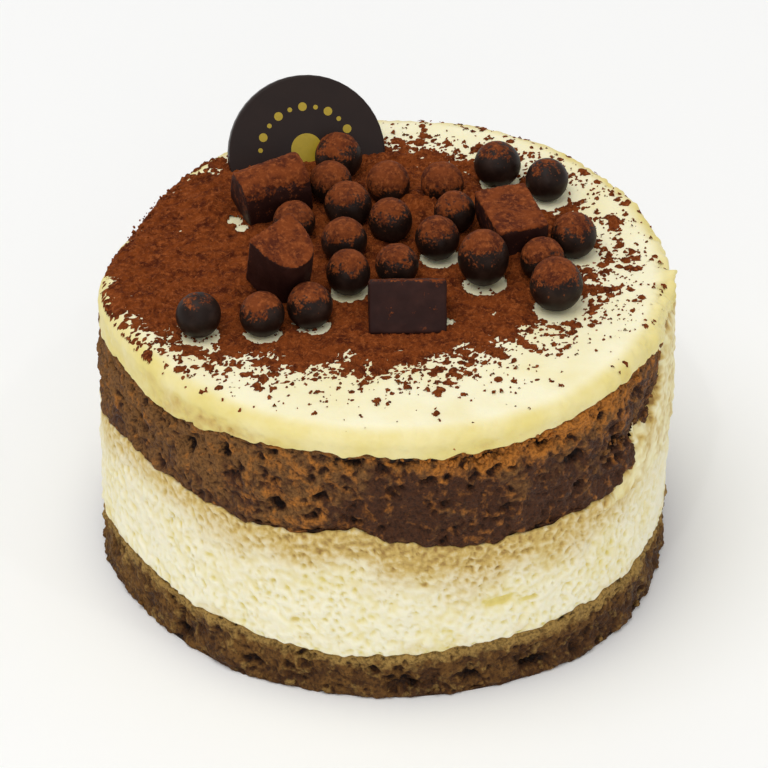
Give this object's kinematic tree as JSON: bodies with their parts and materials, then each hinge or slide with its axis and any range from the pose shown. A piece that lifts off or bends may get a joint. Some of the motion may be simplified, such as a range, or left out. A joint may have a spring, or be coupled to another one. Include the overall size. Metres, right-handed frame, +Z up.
{
  "type": "tiramisu",
  "caption": "Round individual tiramisu of coffee-soaked sponge and mascarpone cream, dusted with cocoa, with chocolate pearls, cut chocolate bars and a plain chocolate plaque",
  "frame": {"origin": "middle of the cake's base, on the surface it stands on, with the bounding box centred on X and Y", "axes": "+Z up along the ring mould's axis; -Y is the front, the side the plaque and the bars face; +X is to the right seen from the front"},
  "size_m": [0.0805, 0.0806, 0.0576],
  "materials": {
    "sponge": "soft, open-pored coffee-soaked sponge",
    "cream": "smooth moist mascarpone cream",
    "chocolate": "satin dark chocolate under cocoa powder",
    "plaque_chocolate": "satin moulded dark chocolate with a plain yellow transfer print",
    "cocoa": "dry matt cocoa powder"
  },
  "bodies": {
    "root": {"lower_sponge": "sponge", "middle_cream": "cream", "upper_sponge": "sponge", "top_cream": "cream", "plaque": "plaque_chocolate", "chunk_1": "chocolate", "chunk_2": "chocolate", "chunk_3": "chocolate", "chunk_4": "chocolate", "pearl_01": "chocolate", "pearl_02": "chocolate", "pearl_03": "chocolate", "pearl_04": "chocolate", "pearl_05": "chocolate", "pearl_06": "chocolate", "pearl_07": "chocolate", "pearl_08": "chocolate", "pearl_09": "chocolate", "pearl_10": "chocolate", "pearl_11": "chocolate", "pearl_12": "chocolate", "pearl_13": "chocolate", "pearl_14": "chocolate", "pearl_15": "chocolate", "pearl_16": "chocolate", "pearl_17": "chocolate", "pearl_18": "chocolate", "pearl_19": "chocolate", "pearl_20": "chocolate", "pearl_21": "chocolate"}
  },
  "joints": []
}
